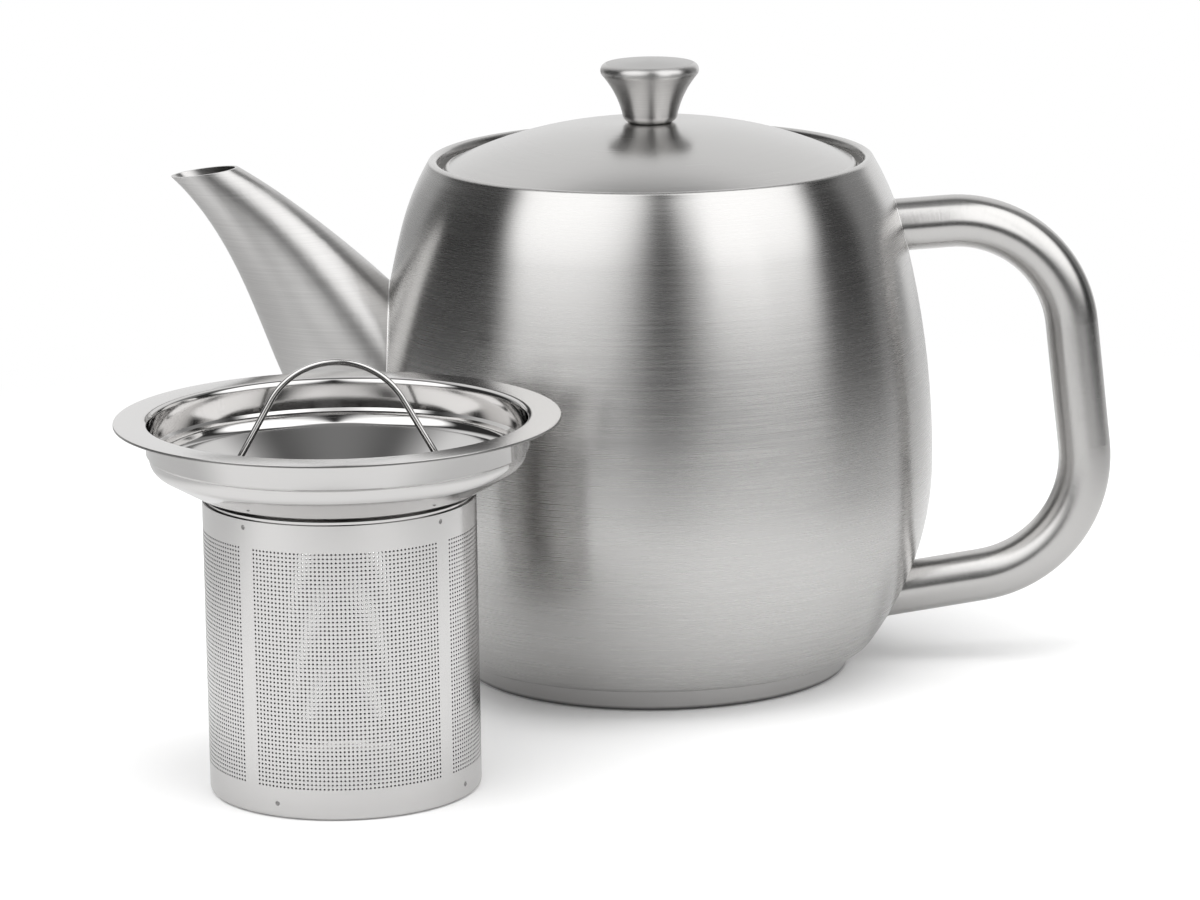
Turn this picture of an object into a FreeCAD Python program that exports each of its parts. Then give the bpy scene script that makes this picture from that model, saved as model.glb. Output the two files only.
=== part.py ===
import FreeCAD, Part
import math
import os
import Sketcher
from FreeCAD import Placement, Rotation, Vector

# Steel teapot with a lift-off lid and a separate infuser that stands beside it.
# Millimetres and degrees. The origin is the centre of the foot on the table, +Z is up,
# the handle points to +X and the spout to -X.

SIZES = {
    # Outer shell of the pot: three tangent arcs from the foot edge to the rim
    "belly_radius": 74.9,
    "belly_height": 57.0,
    "lower_arc": 82.9,
    "foot_edge_height": 6.3,
    "foot_edge_round": 4.0,
    "flank_arc": 248.0,
    "rim_height": 138.0,
    "shoulder_drop": 18.0,
    "shoulder_arc": 71.7,
    "rim_width": 2.5,
    "lip_arc": 1.35,
    "lip_depth": 1.5,
    "shell_wall": 0.8,
    "foot_lip_width": 3.0,
    # Inner vessel, an even gap inside the outer shell
    "wall_gap": 3.2,
    "vessel_wall": 0.8,
    "vessel_floor": 10.0,
    "vessel_corner": 12.0,
    # Pressed ring inside the mouth: the seat for the lid and for the infuser's flange
    "seat_depth": 3.7,
    "seat_width": 7.4,
    "seat_lip": 3.0,
    "ring_wall": 0.8,
    # Foot: a shallow pan welded under the outer shell
    "foot_step": 1.4,
    "foot_taper": 2.5,
    "foot_corner": 1.2,
    "foot_ring_width": 6.0,
    "foot_recess": 1.4,
    "foot_wall": 0.8,
    # Sleeve that leads the tea through both walls into the spout
    "duct_radius": 16.5,
    "duct_height": 66.0,
    "duct_wall": 0.8,
    # Spout: oval sections, each with a point on its upper edge and one on its lower edge. The root's
    # points are set from the belly and the table, and each later point runs out and up from the last.
    "spout_wall": 0.8,
    "root_depth": 14.9,
    "root_lean": 4.0,
    "root_top_up": 92.5,
    "root_low_up": 36.0,
    "root_half_width": 23.0,
    "heel_top_run": 18.0,
    "heel_top_rise": 20.7,
    "heel_low_run": 32.7,
    "heel_low_rise": 39.0,
    "heel_half_width": 16.5,
    "waist_top_run": 14.0,
    "waist_top_rise": 11.7,
    "waist_low_run": 8.4,
    "waist_low_rise": 21.0,
    "waist_half_width": 11.5,
    "throat_top_run": 9.0,
    "throat_top_rise": 6.7,
    "throat_low_run": 7.4,
    "throat_low_rise": 17.5,
    "throat_half_width": 8.5,
    "tip_top_run": 8.8,
    "tip_top_rise": 5.7,
    "tip_low_run": 15.2,
    "tip_low_rise": 21.6,
    "tip_half_width": 6.3,
    # Handle: one bent tube, its centreline set by its roots and its two corners
    "handle_diameter": 14.0,
    "handle_wall": 1.0,
    "handle_root_depth": 14.9,
    "handle_top_drop": 19.1,
    "handle_top_rise": 3.2,
    "handle_reach": 34.3,
    "handle_top_bend": 31.2,
    "handle_low_lean": 9.9,
    "handle_low_corner_up": 27.7,
    "handle_low_bend": 32.8,
    "handle_low_drop": 9.2,
    # Lid: a domed disc with a turned-down edge and a locating ring under it
    "lid_clearance": 1.9,
    "lid_edge_rise": 1.7,
    "lid_edge_round": 1.2,
    "lid_rise": 13.6,
    "lid_flat_radius": 6.6,
    "lid_wall": 0.8,
    "lid_seat_gap": 0.3,
    "lid_ring_clearance": 3.4,
    "lid_ring_wall": 0.8,
    "lid_ring_reach": 7.0,
    # Knob, its screw and washer
    "knob_foot_radius": 5.2,
    "knob_foot_round": 2.5,
    "knob_waist_radius": 7.4,
    "knob_flare_arc": 30.0,
    "knob_head_radius": 13.1,
    "knob_head_height": 14.0,
    "knob_head_round": 1.9,
    "knob_crown": 0.7,
    "screw_diameter": 4.0,
    "screw_length": 10.0,
    "screw_head_diameter": 7.5,
    "screw_head_height": 2.6,
    "thread_runout": 1.1,
    "thread_clearance": 0.05,
    "hole_clearance": 0.15,
    "washer_diameter": 9.0,
    "washer_thickness": 0.8,
    # Infuser: funnel, basket wall and basket bottom, standing beside the pot. The bearing is the
    # angle from the spout's side of the pot.
    "infuser_gap": 9.31,
    "infuser_bearing_angle": 55.432,
    "infuser_wall": 0.6,
    "flange_clearance": 1.6,
    "bowl_clearance": 2.1,
    "bowl_bend": 0.9,
    "bowl_height": 7.7,
    "bowl_step": 0.7,
    "tray_height": 0.51,
    "bowl_corner": 4.0,
    "cone_angle": 30.0,
    "neck_radius": 33.3,
    "neck_rise": 0.9,
    "neck_bend": 0.5,
    "neck_reach": 5.9,
    "basket_clearance": 0.1,
    "basket_wall": 0.5,
    "basket_top": 73.9,
    "bottom_round": 1.2,
    "bottom_skirt": 6.5,
    "bottom_thickness": 0.6,
    # Bail: sprung wire whose ends turn out into two holes in the funnel's neck
    "wire_diameter": 1.6,
    "bail_pivot_drop": 1.6,
    "bail_rise": 35.1,
    "bail_arch": 18.7,
    "bail_inset": 2.1,
    "bail_foot_bend": 2.0,
    "bail_hole_clearance": 0.08,
    "bail_end_gap": 0.1,
}

FULL_TURN = 360.0
QUARTER_TURN = 90.0

os.makedirs("parts", exist_ok=True)
doc = FreeCAD.newDocument("teapot")
dims = doc.addObject("Spreadsheet::Sheet", "dims")
derived = doc.addObject("App::VarSet", "derived")


class Size:
    """A number together with the formula on the sheet's cells that gives it."""

    def __init__(self, number, formula):
        self.number = number
        self.formula = formula

    def __add__(self, other):
        other = as_size(other)
        return Size(self.number + other.number, "(%s + %s)" % (self.formula, other.formula))

    def __radd__(self, other):
        return as_size(other) + self

    def __sub__(self, other):
        other = as_size(other)
        return Size(self.number - other.number, "(%s - %s)" % (self.formula, other.formula))

    def __rsub__(self, other):
        return as_size(other) - self

    def __mul__(self, other):
        other = as_size(other)
        return Size(self.number * other.number, "(%s * %s)" % (self.formula, other.formula))

    def __rmul__(self, other):
        return as_size(other) * self

    def __truediv__(self, other):
        other = as_size(other)
        return Size(self.number / other.number, "(%s / %s)" % (self.formula, other.formula))

    def __neg__(self):
        return Size(-self.number, "(-1 * %s)" % self.formula)


def as_size(item):
    if isinstance(item, Size):
        return item
    return Size(float(item), "%g" % item)


def squared(item):
    return item * item


def root(item):
    return Size(math.sqrt(item.number), "sqrt(%s)" % item.formula)


def sine(item):
    return Size(math.sin(math.radians(item.number)), "sin(%s)" % item.formula)


def cosine(item):
    return Size(math.cos(math.radians(item.number)), "cos(%s)" % item.formula)


def tangent(item):
    return Size(math.tan(math.radians(item.number)), "tan(%s)" % item.formula)


def direction(rise, run):
    angle = math.degrees(math.atan2(rise.number, run.number))
    return Size(angle, "atan2(%s; %s)" % (rise.formula, run.formula))


class Cells:
    """The driving dimensions, each one a cell of the sheet."""


size = Cells()
for row, (alias, number) in enumerate(SIZES.items(), start=1):
    dims.set("A%d" % row, alias)
    dims.set("B%d" % row, "%g" % number)
    dims.setAlias("B%d" % row, alias)
    setattr(size, alias, Size(number, "dims." + alias))
doc.recompute()


def derive(name, item):
    """Keep a worked-out size under a name of its own, bound to the sheet."""
    derived.addProperty("App::PropertyFloat", name)
    derived.setExpression(name, item.formula)
    return Size(item.number, "derived." + name)


def origin_plane(body, role):
    for feature in body.Origin.OriginFeatures:
        if feature.Role == role:
            return feature
    raise ValueError("no plane " + role)


def new_sketch(body, name, role="XZ_Plane"):
    sketch = body.newObject("Sketcher::SketchObject", name)
    sketch.AttachmentSupport = [(origin_plane(body, role), "")]
    sketch.MapMode = "FlatFace"
    return sketch


def bind(sketch, kind, *parts):
    """Add one dimension to a sketch, held by the formula of its size, the last argument."""
    target = parts[-1]
    index = sketch.addConstraint(Sketcher.Constraint(kind, *parts[:-1], target.number))
    sketch.setExpression("Constraints[%d]" % index, target.formula)


def pin_point(sketch, edge, end, across, up):
    """Hold one end of an edge at its distances from the sketch's origin."""
    for kind, axis, place in (("DistanceX", -2, across), ("DistanceY", -1, up)):
        if abs(place.number) < 1e-9:
            sketch.addConstraint(Sketcher.Constraint("PointOnObject", edge, end, axis))
        else:
            bind(sketch, kind, -1, 1, edge, end, place)


def arc_edge(start, end, bend):
    """Arc under a half circle; a positive bend turns left on the way from start to end."""
    chord = end - start
    half = chord.Length / 2
    left = Vector(-chord.y, chord.x, 0).normalize()
    reach = math.sqrt(max(bend * bend - half * half, 0.0))
    centre = (start + end) * 0.5 + left * math.copysign(reach, bend)
    first, last = (start, end) if bend > 0 else (end, start)
    begin = math.atan2(first.y - centre.y, first.x - centre.x)
    finish = math.atan2(last.y - centre.y, last.x - centre.x)
    circle = Part.Circle(centre, Vector(0, 0, 1), abs(bend))
    return Part.ArcOfCircle(circle, begin, finish)


def outline(body, name, corners):
    """Closed profile through corners (across, up), or (across, up, bend) before an arc."""
    sketch = new_sketch(body, name)
    spots = []
    for corner in corners:
        spots.append(Vector(as_size(corner[0]).number, as_size(corner[1]).number, 0))
    joints = []
    for index, corner in enumerate(corners):
        start = spots[index]
        end = spots[(index + 1) % len(spots)]
        if len(corner) == 3:
            bend = as_size(corner[2])
            edge = sketch.addGeometry(arc_edge(start, end, bend.number), False)
            joints.append((edge, 1, 2) if bend.number > 0 else (edge, 2, 1))
        else:
            edge = sketch.addGeometry(Part.LineSegment(start, end), False)
            joints.append((edge, 1, 2))
    for index, (edge, first, last) in enumerate(joints):
        follower, begin, _ = joints[(index + 1) % len(joints)]
        sketch.addConstraint(Sketcher.Constraint("Coincident", edge, last, follower, begin))
    for (edge, first, last), corner in zip(joints, corners):
        pin_point(sketch, edge, first, as_size(corner[0]), as_size(corner[1]))
        if len(corner) == 3:
            bend = as_size(corner[2])
            bind(sketch, "Radius", edge, bend if bend.number > 0 else -bend)
    return sketch


def turned(name, corners):
    """Solid of revolution about the upright axis."""
    body = doc.addObject("PartDesign::Body", name)
    sketch = outline(body, name + "_profile", corners)
    spin = body.newObject("PartDesign::Revolution", name + "_turned")
    spin.Profile = sketch
    spin.ReferenceAxis = (sketch, ["V_Axis"])
    spin.Angle = FULL_TURN
    return body


def cut(name, base, tool):
    made = doc.addObject("Part::Cut", name)
    made.Base = base
    made.Tool = tool
    return made


def common(name, base, tool):
    made = doc.addObject("Part::Common", name)
    made.Base = base
    made.Tool = tool
    return made


# Outline of the pot: the lower arc and the flank meet upright at the belly, and the shoulder
# arc leaves the flank below the rim and ends at it.
lower_centre = derive("lower_centre", size.belly_radius - size.lower_arc)
flank_centre = derive("flank_centre", size.belly_radius - size.flank_arc)
shoulder_height = derive("shoulder_height", size.rim_height - size.shoulder_drop)
flank_rise = shoulder_height - size.belly_height
flank_run = derive("flank_run", root(squared(size.flank_arc) - squared(flank_rise)))
lean_out = derive("lean_out", flank_run / size.flank_arc)
lean_up = derive("lean_up", flank_rise / size.flank_arc)
shoulder_out = derive("shoulder_out", flank_centre + flank_run - size.shoulder_arc * lean_out)
shoulder_up = derive("shoulder_up", shoulder_height - size.shoulder_arc * lean_up)


def upper_radius(height, inset):
    return shoulder_out + root(squared(size.shoulder_arc - inset) - squared(height - shoulder_up))


def shoulder_point(inset):
    return (
        flank_centre + (size.flank_arc - inset) * lean_out,
        size.belly_height + (size.flank_arc - inset) * lean_up,
    )


def flank_up(inset, start, end):
    """Corners of the pot's outline, going up from start to just before end."""
    return [
        (*start, size.lower_arc - inset),
        (size.belly_radius - inset, size.belly_height, size.flank_arc - inset),
        (*shoulder_point(inset), size.shoulder_arc - inset),
        end,
    ]


def flank_down(inset, start, end):
    """The same outline going down, from start at the rim to end at the foot."""
    return [
        (*start, -(size.shoulder_arc - inset)),
        (*shoulder_point(inset), -(size.flank_arc - inset)),
        (size.belly_radius - inset, size.belly_height, -(size.lower_arc - inset)),
        end,
    ]


class FloorCorner:
    """Rounded corner, tangent to a flat floor and to the pot's lower arc set in by an inset."""

    def __init__(self, name, floor, bend, inset):
        self.up = derive(name + "_up", floor + bend)
        self.drop = self.up - size.belly_height
        self.swing = derive(name + "_swing", size.lower_arc - inset - bend)
        self.run = derive(name + "_run", root(squared(self.swing) - squared(self.drop)))
        self.out = derive(name + "_out", lower_centre + self.run)

    def meets_flank(self, inset):
        stretch = (size.lower_arc - inset) / self.swing
        return (lower_centre + self.run * stretch, size.belly_height + self.drop * stretch)


# Outer shell, rolled over at the rim and turned in at the foot
no_inset = as_size(0)
rim_radius = derive("rim_radius", upper_radius(size.rim_height, no_inset))
mouth_radius = derive("mouth_radius", rim_radius - size.rim_width)
foot_edge = FloorCorner("foot_edge", size.foot_edge_height, size.foot_edge_round, no_inset)
rim_edge = (rim_radius, size.rim_height)
lip_underside = derive("lip_underside", size.rim_height - size.lip_depth)
foot_lip_top = derive("foot_lip_top", size.foot_edge_height + size.shell_wall)
foot_lip_bore = derive("foot_lip_bore", foot_edge.out - size.foot_lip_width)
shell_top = (upper_radius(lip_underside, size.shell_wall), lip_underside)
shell_foot = (*foot_edge.meets_flank(size.shell_wall), -(size.foot_edge_round - size.shell_wall))
shell_blank = turned(
    "shell_blank",
    [(foot_lip_bore, size.foot_edge_height), (foot_edge.out, size.foot_edge_height, size.foot_edge_round)]
    + flank_up(no_inset, foot_edge.meets_flank(no_inset), (*rim_edge, size.lip_arc))
    + [(mouth_radius, size.rim_height), (mouth_radius, lip_underside)]
    + flank_down(size.shell_wall, shell_top, shell_foot)
    + [(foot_edge.out, foot_lip_top), (foot_lip_bore, foot_lip_top)],
)

# The pot's outer form as one solid, which trims the spout, the handle and the duct
envelope = turned(
    "envelope",
    [(0, size.foot_edge_height), (foot_edge.out, size.foot_edge_height, size.foot_edge_round)]
    + flank_up(no_inset, foot_edge.meets_flank(no_inset), rim_edge)
    + [(0, size.rim_height)],
)

# Inner vessel and the space that it holds
seat_height = derive("seat_height", size.rim_height - size.seat_depth)
ledge_underside = derive("ledge_underside", seat_height - size.ring_wall)
vessel_inset = derive("vessel_inset", size.shell_wall + size.wall_gap)
cavity_inset = derive("cavity_inset", vessel_inset + size.vessel_wall)
vessel_edge = FloorCorner("vessel_edge", size.vessel_floor, size.vessel_corner, cavity_inset)
cavity_top = (upper_radius(ledge_underside, cavity_inset), ledge_underside)
vessel_top = (upper_radius(ledge_underside, vessel_inset), ledge_underside)
vessel_underside = size.vessel_floor - size.vessel_wall
outer_corner = size.vessel_corner + size.vessel_wall
vessel_blank = turned(
    "vessel_blank",
    [(0, vessel_underside), (vessel_edge.out, vessel_underside, outer_corner)]
    + flank_up(vessel_inset, vessel_edge.meets_flank(vessel_inset), vessel_top)
    + flank_down(cavity_inset, cavity_top, (*vessel_edge.meets_flank(cavity_inset), -size.vessel_corner))
    + [(vessel_edge.out, size.vessel_floor), (0, size.vessel_floor)],
)
cavity = turned(
    "cavity",
    [(0, size.vessel_floor), (vessel_edge.out, size.vessel_floor, size.vessel_corner)]
    + flank_up(cavity_inset, vessel_edge.meets_flank(cavity_inset), cavity_top)
    + [(0, ledge_underside)],
)

# Ring in the mouth: collar under the rolled lip, flat seat, turned-down edge
seat_edge = derive("seat_edge", mouth_radius + size.ring_wall)
seat_bore = derive("seat_bore", mouth_radius - size.seat_width)
seat_bore_back = derive("seat_bore_back", seat_bore + size.ring_wall)
seat_lip_end = derive("seat_lip_end", ledge_underside - size.seat_lip)
mouth_ring = turned(
    "mouth_ring",
    [
        (mouth_radius, lip_underside),
        (mouth_radius, seat_height),
        (seat_bore_back, seat_height, size.ring_wall),
        (seat_bore, ledge_underside),
        (seat_bore, seat_lip_end),
        (seat_bore_back, seat_lip_end),
        (seat_bore_back, ledge_underside),
        (seat_edge, ledge_underside),
        (seat_edge, lip_underside),
    ],
)

# Foot pan: ring that the pot stands on, recessed middle, side flaring up to the shell's lip
foot_top_radius = derive("foot_top_radius", foot_edge.out - size.foot_step)
foot_radius = derive("foot_radius", foot_top_radius - size.foot_taper)
foot_flat_out = derive("foot_flat_out", foot_radius - size.foot_corner)
foot_flat_in = derive("foot_flat_in", foot_flat_out - size.foot_ring_width)
foot_middle = derive("foot_middle", foot_flat_in - size.foot_recess)
base_cap = turned(
    "base_cap",
    [
        (0, size.foot_recess),
        (foot_middle, size.foot_recess),
        (foot_flat_in, 0),
        (foot_flat_out, 0, size.foot_corner),
        (foot_radius, size.foot_corner),
        (foot_top_radius, size.foot_edge_height),
        (foot_top_radius - size.foot_wall, size.foot_edge_height),
        (foot_radius - size.foot_wall, size.foot_corner),
        (foot_flat_out, size.foot_wall),
        (foot_flat_in, size.foot_wall),
        (foot_middle, size.foot_recess + size.foot_wall),
        (0, size.foot_recess + size.foot_wall),
    ],
)


def lying_cylinder(name, radius):
    """Cylinder from inside the vessel out past the wall, on the duct's axis."""
    made = doc.addObject("Part::Cylinder", name)
    made.Placement = Placement(Vector(), Rotation(Vector(0, -1, 0), QUARTER_TURN))
    made.setExpression("Radius", radius.formula)
    made.setExpression("Height", (size.belly_radius + size.wall_gap).formula)
    made.setExpression("Placement.Base.z", size.duct_height.formula)
    return made


# Both walls are cut to the duct, which ends flush with their free faces
duct_outside = lying_cylinder("duct_outside", size.duct_radius)
duct_inside = lying_cylinder("duct_inside", size.duct_radius - size.duct_wall)
duct_tube = cut("duct_tube", duct_outside, duct_inside)
duct_in_pot = common("duct_in_pot", duct_tube, envelope)
spout_duct = cut("spout_duct", duct_in_pot, cavity)
outer_shell = cut("outer_shell", shell_blank, duct_outside)
inner_shell = cut("inner_shell", vessel_blank, duct_outside)


# Spout: a hollow loft through its sections, trimmed to the outer shell
class Station:
    """Oval section of the spout: its name, its upper point and its lower point, each (out, up)."""

    def __init__(self, name, top, low):
        self.name = name
        self.top = top
        self.low = low
        self.half_width = getattr(size, name + "_half_width")

    def onward(self, name):
        """The next section, run out and up from this one."""
        points = []
        for edge, (out, up) in (("top", self.top), ("low", self.low)):
            run = getattr(size, "%s_%s_run" % (name, edge))
            rise = getattr(size, "%s_%s_rise" % (name, edge))
            label = "%s_%s_" % (name, edge)
            points.append((derive(label + "out", out + run), derive(label + "up", up + rise)))
        return Station(name, *points)

    def oval(self, inset):
        top_out, top_up = self.top
        low_out, low_up = self.low
        half_width = self.half_width - inset
        rise = top_up - low_up
        run = low_out - top_out
        half_length = root(squared(rise) + squared(run)) / 2 - inset
        tilt = direction(rise, run)
        made = doc.addObject("Part::Ellipse", self.name + "_oval")
        made.MinorRadius = min(half_width.number, made.MajorRadius)
        made.setExpression("MajorRadius", half_length.formula)
        made.setExpression("MinorRadius", half_width.formula)
        made.Placement = Placement(Vector(), Rotation(Vector(0, -1, 0), tilt.number))
        made.setExpression("Placement.Base.x", (-(top_out + low_out) / 2).formula)
        made.setExpression("Placement.Base.z", ((top_up + low_up) / 2).formula)
        made.setExpression("Placement.Rotation.Angle", tilt.formula)
        return made


root_out = derive("root_out", size.belly_radius - size.root_depth)
root_low_out = derive("root_low_out", root_out + size.root_lean)
stations = [Station("root", (root_out, size.root_top_up), (root_low_out, size.root_low_up))]
for station_name in ("heel", "waist", "throat", "tip"):
    stations.append(stations[-1].onward(station_name))


def spout_form(name, inset):
    made = doc.addObject("Part::Loft", name)
    made.Sections = [station.oval(inset) for station in stations]
    made.Solid = True
    return made


spout_outside = spout_form("spout_outside", no_inset)
spout_inside = spout_form("spout_inside", size.spout_wall)
spout_trimmed = cut("spout_trimmed", spout_outside, envelope)
spout = cut("spout", spout_trimmed, spout_inside)


def tube_path(body, name, start, corners, bends, end):
    """Straight runs joined by tangent bends: the centreline of a bent tube or wire."""
    sketch = new_sketch(body, name)
    spots = [start] + corners + [end]
    vectors = [Vector(as_size(across).number, as_size(up).number, 0) for across, up in spots]
    trims = [Vector(vectors[0])]
    for before, here, after, bend in zip(vectors, vectors[1:], vectors[2:], bends):
        toward = (before - here).normalize()
        away = (after - here).normalize()
        reach = as_size(bend).number / math.tan(toward.getAngle(away) / 2)
        trims += [here + toward * reach, here + away * reach]
    trims.append(Vector(vectors[-1]))
    lines = []
    for first, last in zip(trims[0::2], trims[1::2]):
        lines.append(sketch.addGeometry(Part.LineSegment(first, last), False))
    pin_point(sketch, lines[0], 1, as_size(start[0]), as_size(start[1]))
    pin_point(sketch, lines[-1], 2, as_size(end[0]), as_size(end[1]))
    for index, (corner, bend) in enumerate(zip(corners, bends)):
        first, last = trims[2 * index + 1], trims[2 * index + 2]
        before = first - vectors[index]
        turn = before.x * (last - first).y - before.y * (last - first).x
        signed = math.copysign(as_size(bend).number, turn)
        arc = sketch.addGeometry(arc_edge(first, last, signed), False)
        begin, finish = (1, 2) if signed > 0 else (2, 1)
        sketch.addConstraint(Sketcher.Constraint("Tangent", lines[index], 2, arc, begin))
        sketch.addConstraint(Sketcher.Constraint("Tangent", arc, finish, lines[index + 1], 1))
        bind(sketch, "Radius", arc, as_size(bend))
        mark = sketch.addGeometry(Part.Point(vectors[index + 1]), True)
        pin_point(sketch, mark, 1, as_size(corner[0]), as_size(corner[1]))
        sketch.addConstraint(Sketcher.Constraint("PointOnObject", mark, 1, lines[index]))
        sketch.addConstraint(Sketcher.Constraint("PointOnObject", mark, 1, lines[index + 1]))
    return sketch


def ring_across(body, name, start, lean, radii):
    """Circles of a tube's section, square to its path at the path's start."""
    sketch = new_sketch(body, name, "YZ_Plane")
    sketch.AttachmentOffset = Placement(Vector(), Rotation(Vector(-1, 0, 0), lean.number))
    sketch.setExpression("AttachmentOffset.Base.y", as_size(start[1]).formula)
    sketch.setExpression("AttachmentOffset.Base.z", as_size(start[0]).formula)
    if lean.number:
        sketch.setExpression("AttachmentOffset.Rotation.Angle", lean.formula)
    for radius in radii:
        circle = Part.Circle(Vector(), Vector(0, 0, 1), radius.number)
        edge = sketch.addGeometry(circle, False)
        sketch.addConstraint(Sketcher.Constraint("Coincident", edge, 3, -1, 1))
        bind(sketch, "Radius", edge, radius)
    return sketch


def bent_tube(name, start, corners, bends, end, lean, radii):
    body = doc.addObject("PartDesign::Body", name)
    path = tube_path(body, name + "_path", start, corners, bends, end)
    section = ring_across(body, name + "_section", start, lean, radii)
    doc.recompute()
    pipe = body.newObject("PartDesign::AdditivePipe", name + "_pipe")
    pipe.Profile = section
    edges = ["Edge%d" % (index + 1) for index in range(2 * len(corners) + 1)]
    pipe.Spine = (path, edges)
    pipe.Mode = "Standard"
    return body


# Handle
handle_root = derive("handle_root", size.belly_radius - size.handle_root_depth)
handle_top_up = derive("handle_top_up", size.rim_height - size.handle_top_drop)
handle_top_corner = (
    derive("handle_top_corner_out", size.belly_radius + size.handle_reach),
    derive("handle_top_corner_up", handle_top_up + size.handle_top_rise),
)
handle_low_corner = (
    derive("handle_low_corner_out", handle_top_corner[0] + size.handle_low_lean),
    size.handle_low_corner_up,
)
handle_low_up = derive("handle_low_up", size.handle_low_corner_up - size.handle_low_drop)
handle_lean = direction(size.handle_top_rise, handle_top_corner[0] - handle_root)
handle_radius = size.handle_diameter / 2
handle_blank = bent_tube(
    "handle_blank",
    (handle_root, handle_top_up),
    [handle_top_corner, handle_low_corner],
    [size.handle_top_bend, size.handle_low_bend],
    (handle_root, handle_low_up),
    handle_lean,
    [handle_radius, handle_radius - size.handle_wall],
)
handle_tube = cut("handle_tube", handle_blank, envelope)

# Lid: the dome's arc runs from the flat under the knob to the rounded edge
lid_radius = derive("lid_radius", mouth_radius - size.lid_clearance)
lid_edge_height = derive("lid_edge_height", seat_height + size.lid_edge_rise)
lid_crown = derive("lid_crown", seat_height + size.lid_rise)
crown_run = derive("crown_run", lid_radius - size.lid_edge_round - size.lid_flat_radius)
crown_fall = derive("crown_fall", lid_crown - lid_edge_height - size.lid_edge_round)
dome_arc = derive("dome_arc", (squared(crown_run) + squared(crown_fall)) / (2 * crown_fall))
dome_centre = derive("dome_centre", lid_crown - dome_arc)
dome_inner = derive("dome_inner", dome_arc - size.lid_wall)


def under_dome(radius):
    return dome_centre + root(squared(dome_inner) - squared(radius - size.lid_flat_radius))


screw_radius = size.screw_diameter / 2
screw_hole = derive("screw_hole", screw_radius + size.hole_clearance)
lid_foot = derive("lid_foot", seat_height + size.lid_seat_gap)
lid_skirt = derive("lid_skirt", lid_radius - size.lid_wall)
lid_inside = derive("lid_inside", lid_crown - size.lid_wall)
lid_dome = turned(
    "lid_dome",
    [
        (screw_hole, lid_crown),
        (screw_hole, lid_inside),
        (size.lid_flat_radius, lid_inside, -dome_inner),
        (lid_skirt, under_dome(lid_skirt)),
        (lid_skirt, lid_foot),
        (lid_radius, lid_foot),
        (lid_radius, lid_edge_height, size.lid_edge_round),
        (lid_radius - size.lid_edge_round, lid_edge_height + size.lid_edge_round, dome_arc),
        (size.lid_flat_radius, lid_crown),
    ],
)

# Ring under the lid that keeps it in the mouth when tea is poured
lid_ring_radius = derive("lid_ring_radius", seat_bore - size.lid_ring_clearance)
lid_ring_bore = derive("lid_ring_bore", lid_ring_radius - size.lid_ring_wall)
lid_ring_end = derive("lid_ring_end", seat_height - size.lid_ring_reach)
lid_collar = turned(
    "lid_collar",
    [
        (lid_ring_bore, lid_ring_end),
        (lid_ring_radius, lid_ring_end),
        (lid_ring_radius, under_dome(lid_ring_radius), dome_inner),
        (lid_ring_bore, under_dome(lid_ring_bore)),
    ],
)

# Knob: flared, solid, tapped from below
knob_shoulder = derive("knob_shoulder", lid_crown + size.knob_foot_round)
knob_rim = derive("knob_rim", lid_crown + size.knob_head_height)
knob_top = derive("knob_top", knob_rim + size.knob_head_round)
knob_top_radius = derive("knob_top_radius", size.knob_head_radius - size.knob_head_round)
crown_arc = (squared(knob_top_radius) + squared(size.knob_crown)) / (2 * size.knob_crown)
tapped_radius = derive("tapped_radius", screw_radius + size.thread_clearance)
washer_end = derive("washer_end", lid_inside - size.washer_thickness)
screw_end = derive("screw_end", washer_end + size.screw_length)
tapped_end = derive("tapped_end", screw_end + size.thread_runout)
knob = turned(
    "knob",
    [
        (tapped_radius, lid_crown),
        (size.knob_foot_radius, lid_crown, size.knob_foot_round),
        (size.knob_waist_radius, knob_shoulder, -size.knob_flare_arc),
        (size.knob_head_radius, knob_rim, size.knob_head_round),
        (knob_top_radius, knob_top, derive("crown_arc", crown_arc)),
        (0, knob_top + size.knob_crown),
        (0, tapped_end),
        (tapped_radius, tapped_end),
    ],
)

# Washer and screw that hold the knob from inside the lid
knob_washer = turned(
    "knob_washer",
    [
        (screw_hole, washer_end),
        (size.washer_diameter / 2, washer_end),
        (size.washer_diameter / 2, lid_inside),
        (screw_hole, lid_inside),
    ],
)
screw_crown = derive("screw_crown", washer_end - size.screw_head_height)
head_round = derive("head_round", size.screw_head_height / 2)
knob_screw = turned(
    "knob_screw",
    [
        (0, screw_crown),
        (size.screw_head_diameter / 2 - head_round, screw_crown, head_round),
        (size.screw_head_diameter / 2, washer_end - head_round),
        (size.screw_head_diameter / 2, washer_end),
        (screw_radius, washer_end),
        (screw_radius, screw_end),
        (0, screw_end),
    ],
)

# Funnel of the infuser, one pressed sheet: flange, bowl wall with a step, cone and neck
cone_sin = derive("cone_sin", sine(size.cone_angle))
cone_cos = derive("cone_cos", cosine(size.cone_angle))
cone_tan = derive("cone_tan", tangent(size.cone_angle))
flange_radius = derive("flange_radius", mouth_radius - size.flange_clearance)
bowl_radius = derive("bowl_radius", seat_bore - size.bowl_clearance)
bowl_inner = derive("bowl_inner", bowl_radius - size.infuser_wall)
tray_radius = derive("tray_radius", bowl_radius - size.bowl_step)
tray_inner = derive("tray_inner", tray_radius - size.infuser_wall)
neck_start = derive("neck_start", size.basket_top + size.neck_rise)
neck_end = derive("neck_end", size.basket_top - size.neck_reach)
neck_turn = QUARTER_TURN - size.cone_angle
neck_centre = derive("neck_centre", size.neck_radius + size.neck_bend)
neck_tangent = derive("neck_tangent", neck_centre - size.neck_bend * cone_sin)
neck_centre_up = derive("neck_centre_up", neck_start - size.neck_bend * tangent(neck_turn / 2))
neck_tangent_up = derive("neck_tangent_up", neck_centre_up + size.neck_bend * cone_cos)
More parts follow.
